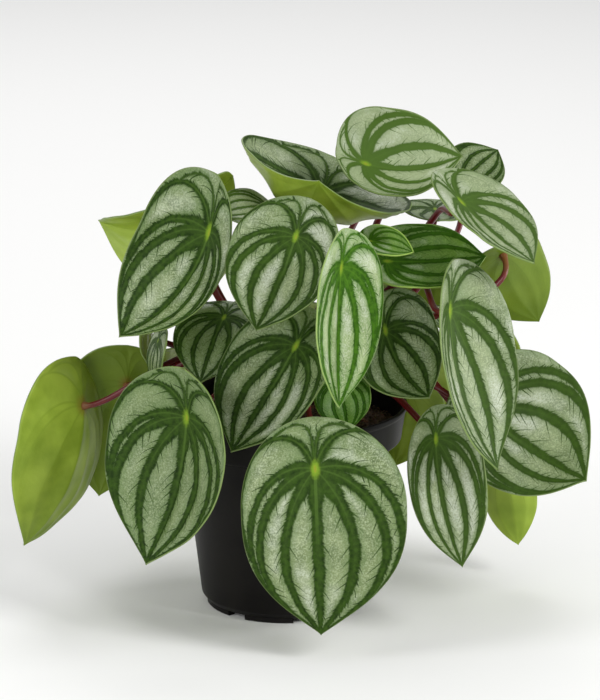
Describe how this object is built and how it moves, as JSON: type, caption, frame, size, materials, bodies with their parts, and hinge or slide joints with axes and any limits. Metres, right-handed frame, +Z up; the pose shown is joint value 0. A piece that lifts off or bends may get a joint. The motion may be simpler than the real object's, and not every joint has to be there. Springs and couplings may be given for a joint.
{
  "type": "potted peperomia",
  "caption": "Watermelon peperomia in a round black nursery pot: striped shield-shaped leaves on red stalks over potting soil.",
  "frame": {"origin": "middle of the pot's base, on the surface it stands on", "axes": "+Z up along the pot's axis; the plant's front, with the large hanging leaf, faces -Y"},
  "size_m": [0.2831, 0.2249, 0.2496],
  "materials": {
    "pot_plastic": "satin black",
    "potting_soil": "rough, dark and moist",
    "red_petiole": "smooth dark red",
    "silver_leaf": "satin; silver with dark green bands above, lime green beneath",
    "young_leaf": "satin; fresh green with dark green bands"
  },
  "bodies": {
    "root": {"crown": "red_petiole", "leaf_back_high": "silver_leaf", "leaf_back_left": "silver_leaf", "leaf_back_left_top": "silver_leaf", "leaf_back_middle": "silver_leaf", "leaf_back_right": "silver_leaf", "leaf_back_right_top": "silver_leaf", "leaf_back_top": "silver_leaf", "leaf_centre_high": "silver_leaf", "leaf_centre_low": "silver_leaf", "leaf_centre_narrow": "young_leaf", "leaf_far_left": "silver_leaf", "leaf_front_big": "silver_leaf", "leaf_front_left": "silver_leaf", "leaf_front_small": "silver_leaf", "leaf_left_back_high": "silver_leaf", "leaf_left_back_low": "silver_leaf", "leaf_left_edge": "silver_leaf", "leaf_left_high": "silver_leaf", "leaf_left_inner": "silver_leaf", "leaf_left_side": "silver_leaf", "leaf_left_top_inner": "silver_leaf", "leaf_pot_side_right": "silver_leaf", "leaf_right_back": "silver_leaf", "leaf_right_back_high": "silver_leaf", "leaf_right_back_low": "silver_leaf", "leaf_right_high": "silver_leaf", "leaf_right_inner": "silver_leaf", "leaf_right_low": "silver_leaf", "leaf_right_mid": "young_leaf", "leaf_right_narrow": "silver_leaf", "leaf_right_side": "silver_leaf", "leaf_right_top_back": "silver_leaf", "leaf_right_wide": "silver_leaf", "leaf_top": "silver_leaf", "leaf_top_back": "silver_leaf", "leaf_top_boat": "silver_leaf", "leaf_top_under": "silver_leaf", "leaf_young": "young_leaf", "pot": "pot_plastic", "soil": "potting_soil"}
  },
  "joints": []
}
